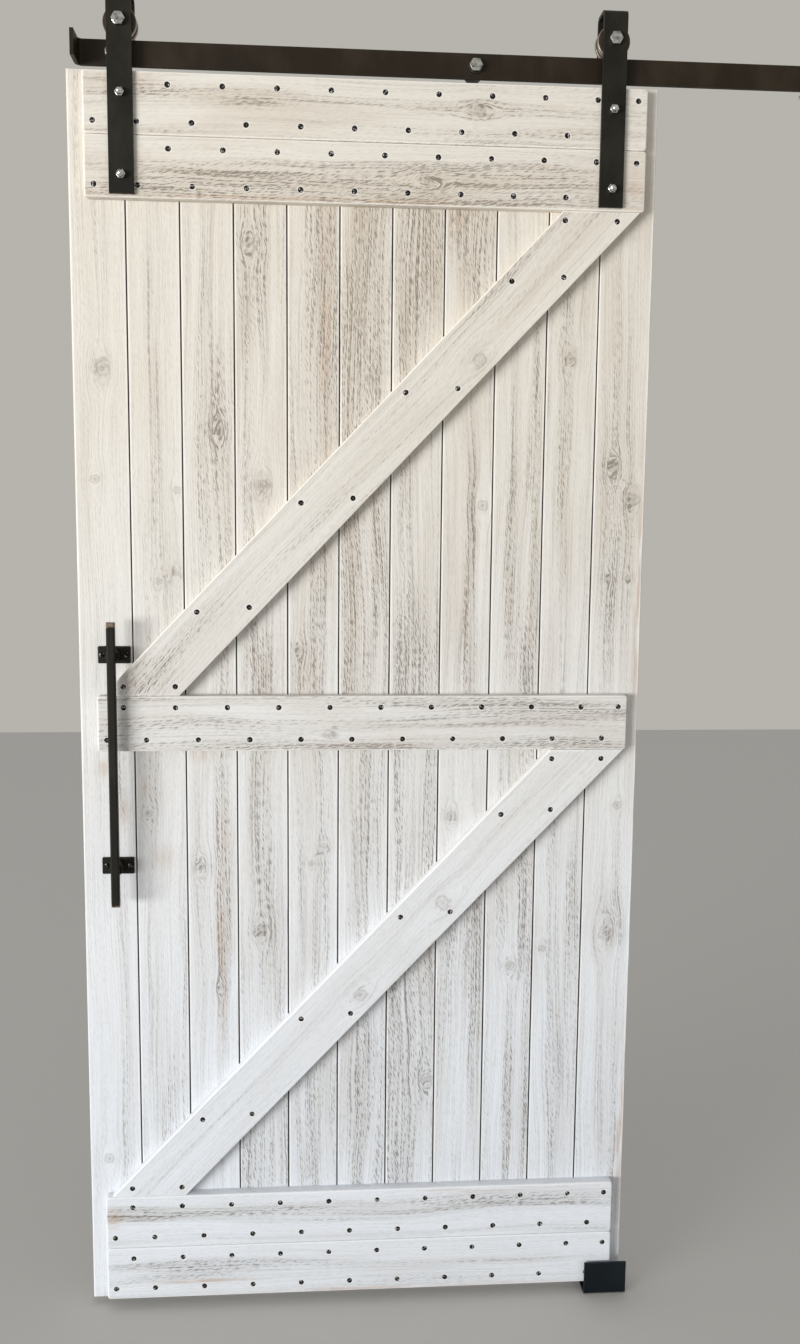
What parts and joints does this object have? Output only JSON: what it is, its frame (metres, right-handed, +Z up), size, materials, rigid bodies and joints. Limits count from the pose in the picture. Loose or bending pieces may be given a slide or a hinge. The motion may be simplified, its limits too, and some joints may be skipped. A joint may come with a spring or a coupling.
{
  "type": "sliding barn door",
  "caption": "Ledged and braced plank door that slides on a wall-mounted flat rail, by folded strap hangers with grooved wheels, with a pull handle and a floor guide.",
  "frame": {"origin": "on the wall's face, in the middle of the row of rail bolts", "axes": "+X to the right along the rail, +Y into the wall, +Z up; the door's front faces -Y"},
  "size_m": [1.884, 0.144, 2.2978],
  "materials": {
    "whitewashed_wood": "worn matt whitewash over brushed wood",
    "black_steel": "satin black",
    "black_screws": "black phosphate",
    "bright_zinc": "bright zinc plate",
    "bearing_steel": "ground steel with dark seals",
    "wheel_iron": "dark brown black, bright worn tread"
  },
  "bodies": {
    "frame": {"rail": "black_steel", "rail_washers": "bright_zinc", "rail_spacer_1": "black_steel", "rail_spacer_2": "black_steel", "rail_spacer_3": "black_steel", "rail_spacer_4": "black_steel", "wall_bolts": "bright_zinc", "floor_guide": "black_steel", "floor_guide_screws": "bright_zinc"},
    "door": {"plank_01": "whitewashed_wood", "plank_02": "whitewashed_wood", "plank_03": "whitewashed_wood", "plank_04": "whitewashed_wood", "plank_05": "whitewashed_wood", "plank_06": "whitewashed_wood", "plank_07": "whitewashed_wood", "plank_08": "whitewashed_wood", "plank_09": "whitewashed_wood", "plank_10": "whitewashed_wood", "plank_11": "whitewashed_wood", "top_board_upper": "whitewashed_wood", "top_board_lower": "whitewashed_wood", "middle_board": "whitewashed_wood", "bottom_board_upper": "whitewashed_wood", "bottom_board_lower": "whitewashed_wood", "brace_upper": "whitewashed_wood", "brace_lower": "whitewashed_wood", "top_board_upper_screws": "black_screws", "top_board_lower_screws": "black_screws", "middle_board_screws": "black_screws", "bottom_board_upper_screws": "black_screws", "bottom_board_lower_screws": "black_screws", "brace_upper_screws": "black_screws", "brace_lower_screws": "black_screws", "hanger_left": "black_steel", "strap_bolts_left": "bright_zinc", "cap_nuts_left": "bright_zinc", "bearing_inner_left": "bearing_steel", "axle_sleeves_left": "bright_zinc", "axle_bolt_left": "bright_zinc", "axle_nut_left": "bright_zinc", "hanger_right": "black_steel", "strap_bolts_right": "bright_zinc", "cap_nuts_right": "bright_zinc", "bearing_inner_right": "bearing_steel", "axle_sleeves_right": "bright_zinc", "axle_bolt_right": "bright_zinc", "axle_nut_right": "bright_zinc", "handle_bar": "black_steel", "handle_post_upper": "black_steel", "handle_post_lower": "black_steel", "handle_plate_upper": "black_steel", "handle_plate_lower": "black_steel", "handle_screws": "black_screws"},
    "wheel_left": {"wheel_left": "wheel_iron", "bearing_outer_left": "bearing_steel"},
    "wheel_right": {"wheel_right": "wheel_iron", "bearing_outer_right": "bearing_steel"}
  },
  "joints": [
    {"name": "door_slide", "type": "slide", "parent": "frame", "child": "door", "axis": [1, 0, 0], "range_m": [-0.045, 0.963]},
    {"name": "wheel_left_spin", "type": "hinge", "parent": "door", "child": "wheel_left", "pos_m": [-0.871, -0.036, 0.0438], "axis": [0, 1, 0], "range_deg": [-112, 2350]},
    {"name": "wheel_right_spin", "type": "hinge", "parent": "door", "child": "wheel_right", "pos_m": [-0.067, -0.036, 0.0438], "axis": [0, 1, 0], "range_deg": [-112, 2350]}
  ],
  "couplings": [
    {"joint": "wheel_left_spin", "follows": "door_slide", "rad_per_m": 42.553},
    {"joint": "wheel_right_spin", "follows": "door_slide", "rad_per_m": 42.553}
  ]
}
